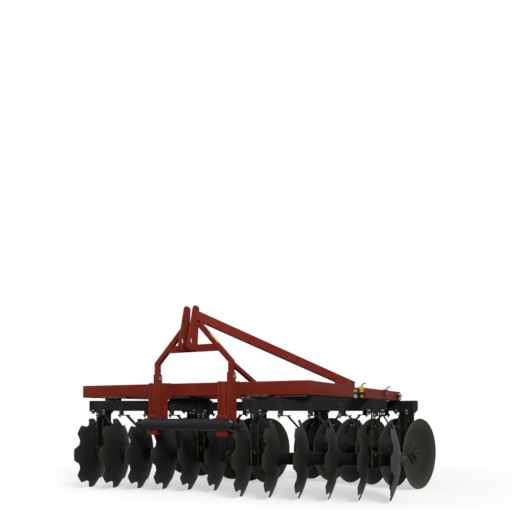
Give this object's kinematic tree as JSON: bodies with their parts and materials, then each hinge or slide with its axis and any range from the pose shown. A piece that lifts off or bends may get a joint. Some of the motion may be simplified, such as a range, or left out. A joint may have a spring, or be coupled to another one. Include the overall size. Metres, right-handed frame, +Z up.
{
  "type": "mounted offset disc harrow",
  "caption": "Mounted offset disc harrow: a red tube frame and mast carry notched front and plain rear disc gangs set in a V, each gang turning on its own axle.",
  "frame": {"origin": "on the ground under the middle of the whole harrow", "axes": "+X towards the machine's left side, -Y in the direction of travel, +Z up"},
  "size_m": [2.913, 2.0597, 1.519],
  "materials": {
    "frame_red": "satin dark red paint",
    "mount_plate": "satin dark red paint",
    "gang_black": "satin black paint",
    "spool_black": "black painted casting",
    "notched_disc": "dark tempered steel",
    "plain_disc": "dark tempered steel",
    "hitch_steel": "satin black paint"
  },
  "bodies": {
    "frame": {"front_beam": "frame_red", "rear_beam": "frame_red", "side_beams": "frame_red", "inner_beams": "frame_red", "hitch_bracket_right": "frame_red", "hitch_bracket_left": "frame_red", "hitch_tube": "hitch_steel", "mast_sockets": "frame_red", "mast_legs": "frame_red", "mast_head": "frame_red", "mast_cross": "frame_red", "main_brace": "frame_red", "knee_stay": "frame_red", "corner_bracket": "frame_red", "outer_link": "frame_red", "gang_beam_front_right": "gang_black", "gang_mounts_front_right": "mount_plate", "hangers_front_right": "gang_black", "scrapers_front_right": "gang_black", "gang_beam_front_left": "gang_black", "gang_mounts_front_left": "mount_plate", "hangers_front_left": "gang_black", "scrapers_front_left": "gang_black", "gang_beam_rear_right": "gang_black", "gang_mounts_rear_right": "mount_plate", "hangers_rear_right": "gang_black", "scrapers_rear_right": "gang_black", "gang_beam_rear_left": "gang_black", "gang_mounts_rear_left": "mount_plate", "hangers_rear_left": "gang_black", "scrapers_rear_left": "gang_black"},
    "gang_front_right": {"discs_front_right": "notched_disc", "spools_front_right": "spool_black", "axle_front_right": "spool_black"},
    "gang_front_left": {"discs_front_left": "notched_disc", "spools_front_left": "spool_black", "axle_front_left": "spool_black"},
    "gang_rear_right": {"discs_rear_right": "plain_disc", "spools_rear_right": "spool_black", "axle_rear_right": "spool_black"},
    "gang_rear_left": {"discs_rear_left": "plain_disc", "spools_rear_left": "spool_black", "axle_rear_left": "spool_black"}
  },
  "joints": [
    {"name": "turn_front_right", "type": "hinge", "parent": "frame", "child": "gang_front_right", "pos_m": [-0.64749, -0.56838, 0.305], "axis": [0.9659, 0.2588, 0], "continuous": true},
    {"name": "turn_front_left", "type": "hinge", "parent": "frame", "child": "gang_front_left", "pos_m": [0.82851, -0.47938, 0.305], "axis": [0.9659, 0.2588, 0], "continuous": true},
    {"name": "turn_rear_right", "type": "hinge", "parent": "frame", "child": "gang_rear_right", "pos_m": [-0.60399, 0.40262, 0.305], "axis": [-0.9659, 0.2588, 0], "continuous": true},
    {"name": "turn_rear_left", "type": "hinge", "parent": "frame", "child": "gang_rear_left", "pos_m": [0.74951, 0.60462, 0.305], "axis": [-0.9659, 0.2588, 0], "continuous": true}
  ]
}
